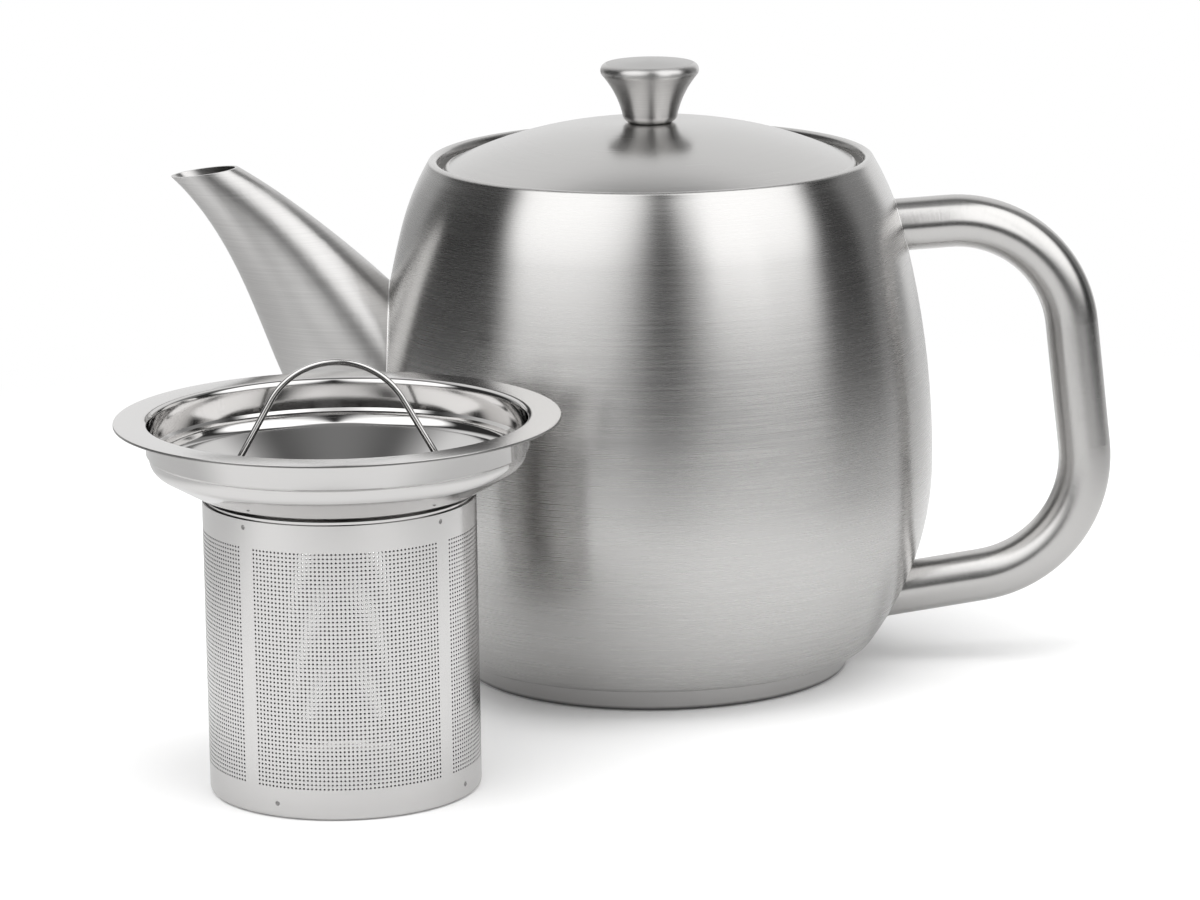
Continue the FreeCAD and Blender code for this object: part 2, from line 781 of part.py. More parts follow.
corner_centre = derive("corner_centre", tray_radius - size.bowl_corner)
corner_foot = derive("corner_foot", corner_centre + size.bowl_corner * cone_sin)
cone_rise = (corner_foot - neck_tangent) * cone_tan
corner_foot_up = derive("corner_foot_up", neck_tangent_up + cone_rise)
corner_centre_up = derive("corner_centre_up", corner_foot_up + size.bowl_corner * cone_cos)
step_low = derive("step_low", corner_centre_up + size.tray_height)
step_high = derive("step_high", step_low + size.bowl_step)
flange_height = derive("flange_height", step_high + size.bowl_height)
flange_under = derive("flange_under", flange_height - size.infuser_wall)
bend_outside = derive("bend_outside", size.bowl_bend + size.infuser_wall)
bend_out = derive("bend_out", bowl_radius + size.bowl_bend)
bend_up = derive("bend_up", flange_under - size.bowl_bend)
corner_inner = derive("corner_inner", size.bowl_corner - size.infuser_wall)
neck_outer_bend = derive("neck_outer_bend", size.neck_bend + size.infuser_wall)
neck_bore = derive("neck_bore", size.neck_radius - size.infuser_wall)
cone_foot = derive("cone_foot", neck_centre - neck_outer_bend * cone_sin)
cone_foot_up = derive("cone_foot_up", neck_centre_up + neck_outer_bend * cone_cos)
funnel_blank = turned(
    "funnel_blank",
    [
        (flange_radius, flange_height),
        (bend_out, flange_height, bend_outside),
        (bowl_inner, bend_up),
        (bowl_inner, step_high),
        (tray_inner, step_low),
        (tray_inner, corner_centre_up, -corner_inner),
        (corner_centre + corner_inner * cone_sin, corner_centre_up - corner_inner * cone_cos),
        (cone_foot, cone_foot_up, neck_outer_bend),
        (neck_bore, neck_centre_up),
        (neck_bore, neck_end),
        (size.neck_radius, neck_end),
        (size.neck_radius, neck_centre_up, -size.neck_bend),
        (neck_tangent, neck_tangent_up),
        (corner_foot, corner_foot_up, size.bowl_corner),
        (tray_radius, corner_centre_up),
        (tray_radius, step_low),
        (bowl_radius, step_high),
        (bowl_radius, bend_up, -size.bowl_bend),
        (bend_out, flange_under),
        (flange_radius, flange_under),
    ],
)

# The infuser stands clear of the pot, flange to belly
infuser_reach = derive("infuser_reach", size.belly_radius + flange_radius + size.infuser_gap)
infuser_x = derive("infuser_x", -(infuser_reach * cosine(size.infuser_bearing_angle)))
infuser_y = derive("infuser_y", -(infuser_reach * sine(size.infuser_bearing_angle)))


def set_beside(thing):
    """Stand a piece of the infuser at the infuser's place on the table."""
    thing.setExpression("Placement.Base.x", infuser_x.formula)
    thing.setExpression("Placement.Base.y", infuser_y.formula)
    return thing


# Two holes in the neck for the ends of the bail
wire_radius = derive("wire_radius", size.wire_diameter / 2)
bail_pivot = derive("bail_pivot", size.basket_top - size.bail_pivot_drop)
bail_holes = doc.addObject("Part::Cylinder", "bail_holes")
bail_holes.Placement = Placement(Vector(), Rotation(Vector(0, 1, 0), QUARTER_TURN))
bail_holes.setExpression("Radius", (wire_radius + size.bail_hole_clearance).formula)
bail_holes.setExpression("Height", (2 * neck_centre).formula)
bail_holes.setExpression("Placement.Base.x", (-neck_centre).formula)
bail_holes.setExpression("Placement.Base.z", bail_pivot.formula)
infuser_funnel = set_beside(cut("infuser_funnel", funnel_blank, bail_holes))

# Basket: plain sheet tube round the neck, and a bottom pressed into its lower end
basket_bore = derive("basket_bore", size.neck_radius + size.basket_clearance)
basket_radius = derive("basket_radius", basket_bore + size.basket_wall)
basket_wall = set_beside(turned(
    "basket_wall",
    [
        (basket_bore, size.bottom_round),
        (basket_radius, size.bottom_round),
        (basket_radius, size.basket_top),
        (basket_bore, size.basket_top),
    ],
))
bottom_flat = derive("bottom_flat", basket_radius - size.bottom_round)
skirt_radius = derive("skirt_radius", basket_bore - size.basket_clearance)
skirt_bore = derive("skirt_bore", skirt_radius - size.bottom_thickness)
basket_bottom = set_beside(turned(
    "basket_bottom",
    [
        (0, 0),
        (bottom_flat, 0, size.bottom_round),
        (basket_radius, size.bottom_round),
        (skirt_radius, size.bottom_round),
        (skirt_radius, size.bottom_skirt),
        (skirt_bore, size.bottom_skirt),
        (skirt_bore, size.bottom_thickness + size.bottom_round, -size.bottom_round),
        (skirt_bore - size.bottom_round, size.bottom_thickness),
        (0, size.bottom_thickness),
    ],
))

# Bail: arch, splayed legs and turned-out ends. The legs leave the arch as tangents and would
# meet above it at the peak.
bail_foot = derive("bail_foot", neck_bore - size.bail_inset)
arch_up = derive("arch_up", size.bail_rise - size.bail_arch)
leg_length = root(squared(bail_foot) + squared(arch_up) - squared(size.bail_arch))
leg_spread = derive("leg_spread", arch_up * bail_foot + size.bail_arch * leg_length)
arch_room = squared(bail_foot) - squared(size.bail_arch)
arch_peak = derive("arch_peak", bail_pivot + bail_foot * leg_spread / arch_room)
bail_end = derive("bail_end", size.neck_radius - size.bail_end_gap)
bail_wire = set_beside(bent_tube(
    "bail_wire",
    (-bail_end, bail_pivot),
    [(-bail_foot, bail_pivot), (as_size(0), arch_peak), (bail_foot, bail_pivot)],
    [size.bail_foot_bend, size.bail_arch, size.bail_foot_bend],
    (bail_end, bail_pivot),
    no_inset,
    [wire_radius],
))

SUB_PARTS = [
    outer_shell, inner_shell, mouth_ring, base_cap, spout_duct, spout, handle_tube,
    lid_dome, lid_collar, knob, knob_washer, knob_screw,
    infuser_funnel, basket_wall, basket_bottom, bail_wire,
]

doc.recompute()
for thing in doc.Objects:
    if "Invalid" in thing.State or "Error" in thing.State:
        raise RuntimeError("%s failed: %s" % (thing.Label, thing.State))
for piece in SUB_PARTS:
    shape = piece.Shape
    if shape.isNull() or not shape.isValid() or len(shape.Solids) != 1:
        raise RuntimeError("%s is not one sound solid" % piece.Label)
for piece in SUB_PARTS:
    piece.Shape.exportStep("parts/%s.step" % piece.Label)
    print("%-16s %10.1f mm3" % (piece.Label, piece.Shape.Volume))
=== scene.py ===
import bpy
import math
from mathutils import Matrix, Vector


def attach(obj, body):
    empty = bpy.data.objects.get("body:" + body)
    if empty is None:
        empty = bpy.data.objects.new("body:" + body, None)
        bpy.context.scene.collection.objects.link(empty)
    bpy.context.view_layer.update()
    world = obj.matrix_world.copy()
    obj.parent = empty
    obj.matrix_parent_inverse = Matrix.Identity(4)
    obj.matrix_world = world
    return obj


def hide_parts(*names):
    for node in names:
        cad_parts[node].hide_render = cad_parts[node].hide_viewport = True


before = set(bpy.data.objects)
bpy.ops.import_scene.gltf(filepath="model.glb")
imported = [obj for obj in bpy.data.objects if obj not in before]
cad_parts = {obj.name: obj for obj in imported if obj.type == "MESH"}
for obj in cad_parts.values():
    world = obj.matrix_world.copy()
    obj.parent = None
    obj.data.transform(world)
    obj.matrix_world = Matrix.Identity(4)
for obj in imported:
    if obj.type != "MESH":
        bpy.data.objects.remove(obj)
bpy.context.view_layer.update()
mm = 0.001
sharpAngle = 32.0  # degrees, edges above it stay sharp
mergeGap = 1e-6  # metres
print("frame loaded:", len(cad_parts), "nodes")


# Modelling helpers

def clearSelection():
    if bpy.context.object and bpy.context.object.mode != "OBJECT":
        bpy.ops.object.mode_set(mode="OBJECT")
    bpy.ops.object.select_all(action="DESELECT")


def focus(piece):
    clearSelection()
    piece.select_set(True)
    bpy.context.view_layer.objects.active = piece


def openMesh(piece, everything=True):
    focus(piece)
    bpy.ops.object.mode_set(mode="EDIT")
    bpy.ops.mesh.select_mode(type="VERT")
    bpy.ops.mesh.select_all(action="SELECT" if everything else "DESELECT")


def pick(piece, test):  # select the vertices whose place passes the test
    openMesh(piece, False)
    bpy.ops.object.mode_set(mode="OBJECT")
    for vertex in piece.data.vertices:
        vertex.select = test(vertex.co)
    bpy.ops.object.mode_set(mode="EDIT")


def pickFaces(piece, test):
    openMesh(piece, False)
    bpy.ops.mesh.select_mode(type="FACE")
    bpy.ops.object.mode_set(mode="OBJECT")
    for face in piece.data.polygons:
        face.select = test(face)
    bpy.ops.object.mode_set(mode="EDIT")


def drawOut(move):  # extrude what is selected, by millimetres
    value = tuple(part * mm for part in move)
    bpy.ops.mesh.extrude_region_move(TRANSFORM_OT_translate={"value": value})


def place(piece):  # the object back to the origin, its place in its mesh
    focus(piece)
    bpy.ops.object.transform_apply(location=True, rotation=True, scale=True)


def applyAll(piece):
    focus(piece)
    for modifier in list(piece.modifiers):
        bpy.ops.object.modifier_apply(modifier=modifier.name)


def mergeAndFace(piece):  # doubles merged, faces outwards
    openMesh(piece)
    bpy.ops.mesh.remove_doubles(threshold=mergeGap)
    bpy.ops.mesh.normals_make_consistent(inside=False)
    bpy.ops.object.mode_set(mode="OBJECT")


def smooth(piece, angle=sharpAngle):
    focus(piece)
    bpy.ops.object.shade_smooth_by_angle(angle=math.radians(angle))


def ownCopy(piece):  # a copy with its own mesh
    copy = piece.copy()
    copy.data = piece.data.copy()
    bpy.context.scene.collection.objects.link(copy)
    return copy


def coat(piece, *materials):
    piece.data.materials.clear()
    for material in materials:
        piece.data.materials.append(material)


def arcPoints(start, end, bend, stepAngle):  # a positive bend turns left on the way to the end
    run = end[0] - start[0]
    rise = end[1] - start[1]
    chord = math.hypot(run, rise)
    side = math.copysign(math.sqrt(max(bend * bend - chord * chord / 4, 0)) / chord, bend)
    centre = ((start[0] + end[0]) / 2 - rise * side, (start[1] + end[1]) / 2 + run * side)
    sweep = 2 * math.asin(min(chord / 2 / abs(bend), 1))
    count = max(2, math.ceil(math.degrees(sweep) / stepAngle))
    begin = math.atan2(start[1] - centre[1], start[0] - centre[0])
    turn = math.copysign(sweep, bend)
    points = []
    for index in range(1, count):
        angle = begin + turn * index / count
        points.append((centre[0] + abs(bend) * math.cos(angle), centre[1] + abs(bend) * math.sin(angle)))
    return points + [end]


def outlinePoints(corners, stepAngle):  # a corner is (out, up), with a bend where an arc follows it
    points = [corners[0][:2]]
    for corner, follower in zip(corners, corners[1:] + corners[:1]):
        if len(corner) == 3:
            points += arcPoints(corner[:2], follower[:2], corner[2], stepAngle)
        else:
            points.append(follower[:2])
    return points


def turnPiece(name, corners, sizes, axis=(0, 0)):  # a closed outline, spun about a standing axis
    points = outlinePoints(corners, sizes["stepAngle"])
    clearSelection()
    start = Vector((axis[0] + points[0][0], axis[1], points[0][1])) * mm
    bpy.ops.mesh.primitive_plane_add(size=mm, location=start)
    piece = bpy.context.object
    piece.name = name
    bpy.ops.object.mode_set(mode="EDIT")
    bpy.ops.mesh.merge(type="CENTER")  # one vertex, drawn out along the outline
    for here, there in zip(points, points[1:]):
        drawOut((there[0] - here[0], 0, there[1] - here[1]))
    bpy.ops.mesh.select_all(action="SELECT")
    bpy.ops.mesh.remove_doubles(threshold=mergeGap)
    bpy.ops.mesh.select_all(action="SELECT")
    middle = (axis[0] * mm, axis[1] * mm, 0)
    bpy.ops.mesh.spin(steps=sizes["turnSteps"], angle=math.radians(360), center=middle, axis=(0, 0, 1))
    bpy.ops.object.mode_set(mode="OBJECT")
    place(piece)
    mergeAndFace(piece)
    smooth(piece)
    return piece


# Shader helpers

class Flow:  # a socket that takes sums
    def __init__(self, finish, socket):
        self.finish = finish
        self.socket = socket

    def output(self, key):  # another output of the same node
        return Flow(self.finish, self.socket.node.outputs[key])

    def sum(self, operation, first, second):
        return self.finish.add("ShaderNodeMath", {"operation": operation}, {0: first, 1: second})

    def __add__(self, other):
        return self.sum("ADD", self, other)

    def __radd__(self, other):
        return self.sum("ADD", other, self)

    def __sub__(self, other):
        return self.sum("SUBTRACT", self, other)

    def __rsub__(self, other):
        return self.sum("SUBTRACT", other, self)

    def __mul__(self, other):
        return self.sum("MULTIPLY", self, other)

    def __rmul__(self, other):
        return self.sum("MULTIPLY", other, self)

    def __truediv__(self, other):
        return self.sum("DIVIDE", self, other)

    def __rtruediv__(self, other):
        return self.sum("DIVIDE", other, self)

    def __pow__(self, other):
        return self.sum("POWER", self, other)


class Finish:  # a node tree under construction
    def __init__(self, owner):
        owner.use_nodes = True
        self.owner = owner
        self.tree = owner.node_tree
        self.tree.nodes.clear()

    def add(self, kind, settings=None, sockets=None, out=0):
        node = self.tree.nodes.new(kind)
        for key, value in (settings or {}).items():
            setattr(node, key, value)
        for key, value in (sockets or {}).items():
            if isinstance(value, Flow):
                self.tree.links.new(value.socket, node.inputs[key])
            else:
                node.inputs[key].default_value = value
        return Flow(self, node.outputs[out]) if len(node.outputs) else node

    def ease(self, value, low, high):  # smooth step from 0 at low to 1 at high
        sockets = {"Value": value, "From Min": low, "From Max": high}
        return self.add("ShaderNodeMapRange", {"interpolation_type": "SMOOTHSTEP"}, sockets)

    def mixColour(self, factor, first, second):
        sockets = {"Factor": factor, 6: first, 7: second}  # 6 and 7 are the colours among its inputs
        return self.add("ShaderNodeMix", {"data_type": "RGBA"}, sockets, out=2)


def newFinish(name):
    return Finish(bpy.data.materials.new(name))


def surfaceDone(finish, surface):  # the material, with its surface in place
    finish.add("ShaderNodeOutputMaterial", {}, {"Surface": surface})
    return finish.owner


def axes(finish, centre=(0, 0, 0)):  # Object coordinates in millimetres about a centre
    objectPlace = finish.add("ShaderNodeTexCoord", out="Object")
    shift = tuple(-value for value in centre)
    sockets = {"Vector": objectPlace, "Location": shift, "Scale": (1 / mm,) * 3}
    moved = finish.add("ShaderNodeMapping", {}, sockets)
    x = finish.add("ShaderNodeSeparateXYZ", {}, {"Vector": moved})
    return x, x.output(1), x.output(2)


def distance(first, second):
    return (first * first + second * second) ** 0.5


def noise(finish, x, y, z):
    vector = finish.add("ShaderNodeCombineXYZ", {}, {0: x, 1: y, 2: z})
    return finish.add("ShaderNodeTexNoise", {}, {"Vector": vector, "Scale": 1.0, "Detail": 2.0})


def tone(colour, share=1.0):
    return tuple(value * share for value in colour) + (1,)


# Steel: lines and hairs along the brushing, and broad clouds
noiseMiddle = 0.5
bodyLook = dict(
    colour=(0.60, 0.593, 0.585), dark=0.93, darkFrom=0.32, darkTo=0.68,
    rough=0.265, roughSpread=0.16, cloud=0.04, cloudScale=0.03,
    along=0.02, lines=3.8, hairAlong=3, hairLines=1.7, hairShare=0.5,
    stretch=0.82, stretchTurn=0.25, bump=0.02, depth=3e-5, brush="level", centre=(0, 0, 0))


def brushedSteel(name, base, **changes):  # fine lines that run level, in rings, or round a bent tube
    look = dict(base, **changes)
    finish = newFinish(name)
    x, y, z = axes(finish, look["centre"])
    flat, deep, across = x, y, z
    if look["brush"] == "rings":
        across = distance(x, y)
    if look["brush"] == "tube":
        flat, deep = y, distance(x, z)
        across = x.sum("ARCTAN2", z, x) * look["reach"]
    along, lines = look["along"], look["lines"]
    hairAlong, hairLines = along * look["hairAlong"], lines * look["hairLines"]
    cloudScale, hairShare = look["cloudScale"], look["hairShare"]
    streak = noise(finish, flat * along, deep * along, across * lines)
    hair = noise(finish, flat * hairAlong, deep * hairAlong, across * hairLines)
    cloud = noise(finish, x * cloudScale, y * cloudScale, z * cloudScale)
    grain = streak * (1 - hairShare) + hair * hairShare
    dark, light = tone(look["colour"], look["dark"]), tone(look["colour"])
    colour = finish.mixColour(finish.ease(grain, look["darkFrom"], look["darkTo"]), dark, light)
    if "wornTone" in look:  # painted shade: a dark line along the bottom edge stands in for the contact shadow where the piece stands
        worn = tone(look["colour"], look["wornTone"])
        colour = finish.mixColour(finish.ease(z, look["wornFrom"], look["wornTo"]), worn, colour)
    roughness = look["rough"] + (grain - noiseMiddle) * look["roughSpread"]
    roughness = roughness + (cloud - noiseMiddle) * look["cloud"]
    lift = {"Strength": look["bump"], "Distance": look["depth"], "Height": grain}
    normal = finish.add("ShaderNodeBump", {}, lift)
    sockets = {"Base Color": colour, "Metallic": 1.0, "Roughness": roughness, "Normal": normal,
               "Anisotropic": look["stretch"], "Anisotropic Rotation": look["stretchTurn"]}
    return surfaceDone(finish, finish.add("ShaderNodeBsdfPrincipled", {}, sockets))


sheetTone = (0.68, 0.672, 0.665)
polishTone = (0.64, 0.632, 0.625)
bodySteel = brushedSteel("bodySteel", bodyLook)
spoutSteel = brushedSteel("spoutSteel", bodyLook, rough=0.33, dark=0.88, stretch=0.6)
lidSteel = brushedSteel("lidSteel", bodyLook, brush="rings", rough=0.24, roughSpread=0.2, stretch=0.3,
                        dark=0.94, bump=0.08)
knobSteel = brushedSteel("knobSteel", bodyLook, rough=0.34, dark=0.9, bump=0.08)
# painted shade: the crown's colour is darker to stand in for the dimmer light on the knob's top
knobCrownShadeSteel = brushedSteel("knobCrownShadeSteel", bodyLook, brush="rings", rough=0.3, stretch=0.3, dark=0.92,
                            bump=0.08, colour=(0.47, 0.465, 0.458))
tubeSteel = brushedSteel("tubeSteel", bodyLook, brush="tube", reach=45, centre=(78, 0, 72), stretch=0.0,
                         rough=0.23, roughSpread=0.1, dark=0.95, bump=0.5, along=0.13, lines=5.0,
                         colour=(0.57, 0.562, 0.553))

plainLook = dict(bodyLook, stretch=0.0, dark=0.96, bump=0.04, colour=sheetTone)  # no stretched shine
vesselSteel = brushedSteel("vesselSteel", plainLook, rough=0.3, roughSpread=0.1)
ringSteel = brushedSteel("ringSteel", plainLook, rough=0.5, roughSpread=0.05, dark=0.97, bump=0.02,
                         colour=(0.7, 0.692, 0.685))
# painted shade: the foot's colour darkens towards its bottom edge in place of its contact shadow
footSteel = brushedSteel("footSteel", plainLook, rough=0.2, roughSpread=0.08, wornTone=0.25, wornFrom=0.35,
                         wornTo=1.5)
beadSteel = brushedSteel("beadSteel", plainLook, rough=0.16, roughSpread=0.05, dark=0.97, bump=0.03,
                         colour=(0.72, 0.712, 0.705))

infuserAxis = (-79.1, -114.8)  # where the infuser stands
infuserLook = dict(bodyLook, centre=(*infuserAxis, 0), stretch=0.0, dark=0.985, roughSpread=0.05, cloud=0.02,
                   bump=0.03)
basketSteel = brushedSteel("basketSteel", infuserLook, rough=0.19, colour=sheetTone)
# painted shade: the basket's inside and its hole walls are darkened to stand in for the shade inside
insideShadeSteel = brushedSteel("insideShadeSteel", infuserLook, rough=0.35, colour=(0.2, 0.197, 0.193))
flangeSteel = brushedSteel("flangeSteel", infuserLook, brush="rings", rough=0.19, stretch=0.3,
                           colour=sheetTone)
edgeSteel = brushedSteel("edgeSteel", infuserLook, rough=0.3, colour=(0.33, 0.326, 0.32))
funnelSteel = brushedSteel("funnelSteel", infuserLook, rough=0.075, colour=polishTone)
wireSteel = brushedSteel("wireSteel", infuserLook, rough=0.15, colour=polishTone)
spotSteel = brushedSteel("spotSteel", infuserLook, rough=0.3, colour=(0.3, 0.295, 0.29))
print("finishes ready")


# Pot body: three tangent arcs from the foot edge to the rim, with a rolled lip
pot = dict(bellyRadius=74.9, bellyHeight=57.0, lowerArc=82.9, flankArc=248.0, shoulderArc=71.7,
           rimHeight=138.0, shoulderDrop=18.0, footEdge=6.3, footRound=4.0, footLip=3.0, wall=0.8,
           rimWidth=2.5, lipArc=1.35, lipDepth=1.5, stepAngle=1.5, turnSteps=180)


def potSpot(inset, where):  # where the arcs of the outline meet, or a height on the shoulder
    belly = pot["bellyHeight"]
    if where == "belly":
        return pot["bellyRadius"] - inset, belly
    if where == "foot":
        swing = pot["lowerArc"] - pot["footRound"]
        drop = pot["footEdge"] + pot["footRound"] - belly
        run = math.sqrt(swing * swing - drop * drop)
        stretch = (pot["lowerArc"] - inset) / swing
        return pot["bellyRadius"] - pot["lowerArc"] + run * stretch, belly + drop * stretch
    flankCentre = pot["bellyRadius"] - pot["flankArc"]
    leanUp = (pot["rimHeight"] - pot["shoulderDrop"] - belly) / pot["flankArc"]
    leanOut = math.sqrt(1 - leanUp * leanUp)
    if where == "shoulder":
        reach = pot["flankArc"] - inset
        return flankCentre + reach * leanOut, belly + reach * leanUp
    reach = pot["flankArc"] - pot["shoulderArc"]
    out, up = flankCentre + reach * leanOut, belly + reach * leanUp
    return out + math.sqrt((pot["shoulderArc"] - inset) ** 2 - (where - up) ** 2), where


def potOutline():
    wall, edge = pot["wall"], pot["footEdge"]
    footOut = potSpot(pot["footRound"], "foot")[0]
    rimRadius = potSpot(0, pot["rimHeight"])[0]
    mouthRadius = rimRadius - pot["rimWidth"]
    lipUnder = pot["rimHeight"] - pot["lipDepth"]
    return [
        (footOut - pot["footLip"], edge),
        (footOut, edge, pot["footRound"]),
        (*potSpot(0, "foot"), pot["lowerArc"]),
        (*potSpot(0, "belly"), pot["flankArc"]),
        (*potSpot(0, "shoulder"), pot["shoulderArc"]),
        (rimRadius, pot["rimHeight"], pot["lipArc"]),
        (mouthRadius, pot["rimHeight"]),
        (mouthRadius, lipUnder),
        (*potSpot(wall, lipUnder), -(pot["shoulderArc"] - wall)),
        (*potSpot(wall, "shoulder"), -(pot["flankArc"] - wall)),
        (*potSpot(wall, "belly"), -(pot["lowerArc"] - wall)),
        (*potSpot(wall, "foot"), -(pot["footRound"] - wall)),
        (footOut, edge + wall),
        (footOut - pot["footLip"], edge + wall),
    ]


potBody = turnPiece("potBody", potOutline(), pot)
duct = dict(radius=16.5, height=66.0, reach=40.0, middle=-65.0, sides=64)  # hole behind the spout
clearSelection()
bpy.ops.mesh.primitive_cylinder_add(vertices=duct["sides"], radius=duct["radius"] * mm,
                                    depth=duct["reach"] * mm, rotation=(0, math.pi / 2, 0),
                                    location=(duct["middle"] * mm, 0, duct["height"] * mm))
drill = bpy.context.object
hole = potBody.modifiers.new("ductHole", "BOOLEAN")
hole.operation = "DIFFERENCE"
hole.object = drill
applyAll(potBody)
bpy.data.objects.remove(drill)
smooth(potBody)
coat(potBody, bodySteel)
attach(potBody, "pot")
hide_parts("outer_shell")
print("pot body turned")


# Knob: a flared stem that runs smoothly into a rounded head, on a turned foot, with the screw's hole
knobSizes = dict(base=147.9, footRadius=5.2, footRound=2.5, waistRadius=7.4, flareArc=25.5, headRadius=13.1,
                 headHeight=14.0, headRound=1.9, headTurn=40.0, crown=0.7, crownLevel=0.97, boreRadius=2.05,
                 boreDepth=9.5, stepAngle=3, turnSteps=128)


def knobOutline():
    base, edge = knobSizes["base"], knobSizes["headRound"]
    turn = math.radians(knobSizes["headTurn"])
    edgeOut, edgeUp = knobSizes["headRadius"] - edge, base + knobSizes["headHeight"]
    crown = knobSizes["crown"]
    crownArc = (edgeOut ** 2 + crown ** 2) / (2 * crown)
    return [
        (knobSizes["boreRadius"], base),
        (knobSizes["footRadius"], base, knobSizes["footRound"]),
        (knobSizes["waistRadius"], base + knobSizes["footRound"], -knobSizes["flareArc"]),
        (edgeOut + edge * math.cos(turn), edgeUp - edge * math.sin(turn), edge),
        (edgeOut, edgeUp + edge, crownArc),
        (0, edgeUp + edge + crown),
        (0, base + knobSizes["boreDepth"]),
        (knobSizes["boreRadius"], base + knobSizes["boreDepth"]),
    ]


lidKnob = turnPiece("lidKnob", knobOutline(), knobSizes)
coat(lidKnob, knobSteel, knobCrownShadeSteel)
for face in lidKnob.data.polygons:  # the crown is brushed in rings and carries a painted shade, a darker colour
    face.material_index = 1 if face.normal.z > knobSizes["crownLevel"] else 0
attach(lidKnob, "lid")
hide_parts("knob")
print("knob turned")


# Weld beads where the spout and the handle meet the body
bead = dict(spoutRadius=0.34, handleRadius=0.2, rounds=2, near=0.06, sharp=60)


def onBody(spot):  # whether a place lies on the body's outer face
    out, up = spot.xy.length / mm, spot.z / mm
    if up > pot["rimHeight"] - pot["shoulderDrop"]:
        return abs(out - potSpot(0, up)[0]) < bead["near"]
    arc = pot["lowerArc"] if up < pot["bellyHeight"] else pot["flankArc"]
    centre = pot["bellyRadius"] - arc
    return abs(math.hypot(out - centre, up - pot["bellyHeight"]) - arc) < bead["near"]


def weldBead(name, node, loops, radius):
    copy = ownCopy(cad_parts[node])
    mergeAndFace(copy)
    pickFaces(copy, lambda face: all(onBody(copy.data.vertices[index].co) for index in face.vertices))
    bpy.ops.mesh.region_to_loop()  # outer and inner edge of each end face
    bpy.ops.mesh.separate(type="SELECTED")
    bpy.ops.object.mode_set(mode="OBJECT")
    edges = [piece for piece in bpy.context.selected_objects if piece != copy]
    bpy.data.objects.remove(copy)
    focus(edges[0])
    bpy.ops.mesh.separate(type="LOOSE")
    rings = sorted(bpy.context.selected_objects, key=lambda ring: -ring.dimensions.length)
    for ring in rings[loops:]:  # the inner edges go
        bpy.data.objects.remove(ring)
    focus(rings[0])
    for ring in rings[:loops]:
        ring.select_set(True)
    if loops > 1:
        bpy.ops.object.join()
    bpy.ops.object.convert(target="CURVE")
    line = bpy.context.object
    line.data.bevel_depth = radius * mm
    line.data.bevel_resolution = bead["rounds"]
    bpy.ops.object.convert(target="MESH")
    line = bpy.context.object
    line.name = name
    mergeAndFace(line)
    smooth(line, bead["sharp"])
    coat(line, beadSteel)
    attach(line, "pot")
    print(name, len(line.data.polygons), [round(value / mm, 1) for value in line.dimensions])


weldBead("spoutWeld", "spout", 1, bead["spoutRadius"])
weldBead("handleWeld", "handle_tube", 2, bead["handleRadius"])


# Infuser funnel: flange, bowl wall with a step, cone and neck, pressed from one sheet
funnel = dict(sheet=0.6, flangeRadius=55.2, flangeHeight=93.7, flangeRound=0.25, cutLevel=0.4,
              bowlRadius=47.3, bowlBend=0.9, stepHeight=86.0, step=0.7, corner=4.0, coneAngle=30.0,
              neckRadius=33.3, neckStart=74.8, neckBend=0.5, neckEnd=68.0, stepAngle=10, turnSteps=180)


def funnelOutline():
    sheet, angle = funnel["sheet"], math.radians(funnel["coneAngle"])
    sine, cosine = math.sin(angle), math.cos(angle)
    tray = funnel["bowlRadius"] - funnel["step"]
    cornerOut = tray - funnel["corner"]
    neckOut = funnel["neckRadius"] + funnel["neckBend"]
    neckUp = funnel["neckStart"] - funnel["neckBend"] * math.tan((math.pi / 2 - angle) / 2)
    rise = (cornerOut + funnel["corner"] * sine - neckOut + funnel["neckBend"] * sine) * math.tan(angle)
    cornerUp = neckUp + funnel["neckBend"] * cosine + rise + funnel["corner"] * cosine
    under = funnel["flangeHeight"] - sheet
    bendOut, bendUp = funnel["bowlRadius"] + funnel["bowlBend"], under - funnel["bowlBend"]
    stepLow = funnel["stepHeight"] - funnel["step"]
    inCorner, inNeck = funnel["corner"] - sheet, funnel["neckBend"] + sheet
    return [
        (funnel["flangeRadius"] - funnel["flangeRound"], funnel["flangeHeight"]),
        (bendOut, funnel["flangeHeight"], funnel["bowlBend"] + sheet),
        (funnel["bowlRadius"] - sheet, bendUp),
        (funnel["bowlRadius"] - sheet, funnel["stepHeight"]),
        (tray - sheet, stepLow),
        (tray - sheet, cornerUp, -inCorner),
        (cornerOut + inCorner * sine, cornerUp - inCorner * cosine),
        (neckOut - inNeck * sine, neckUp + inNeck * cosine, inNeck),
        (funnel["neckRadius"] - sheet, neckUp),
        (funnel["neckRadius"] - sheet, funnel["neckEnd"]),
        (funnel["neckRadius"], funnel["neckEnd"]),
        (funnel["neckRadius"], neckUp, -funnel["neckBend"]),
        (neckOut - funnel["neckBend"] * sine, neckUp + funnel["neckBend"] * cosine),
        (cornerOut + funnel["corner"] * sine, cornerUp - funnel["corner"] * cosine, funnel["corner"]),
        (tray, cornerUp),
        (tray, stepLow),
        (funnel["bowlRadius"], funnel["stepHeight"]),
        (funnel["bowlRadius"], bendUp, -funnel["bowlBend"]),
        (bendOut, under),
        (funnel["flangeRadius"], under),
        (funnel["flangeRadius"], funnel["flangeHeight"] - funnel["flangeRound"], funnel["flangeRound"]),
    ]


infuserFunnel = turnPiece("infuserFunnel", funnelOutline(), funnel, axis=infuserAxis)
coat(infuserFunnel, funnelSteel, flangeSteel, edgeSteel)
for face in infuserFunnel.data.polygons:  # the flat of the flange is satin, its outer edge darker and rougher
    out = (face.center.xy / mm - Vector(infuserAxis)).length
    face.material_index = 1 if out > funnel["bowlRadius"] + funnel["bowlBend"] else 0
    if out > funnel["flangeRadius"] - funnel["flangeRound"] and face.normal.z < funnel["cutLevel"]:
        face.material_index = 2
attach(infuserFunnel, "infuser")
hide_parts("infuser_funnel")
print("funnel turned")


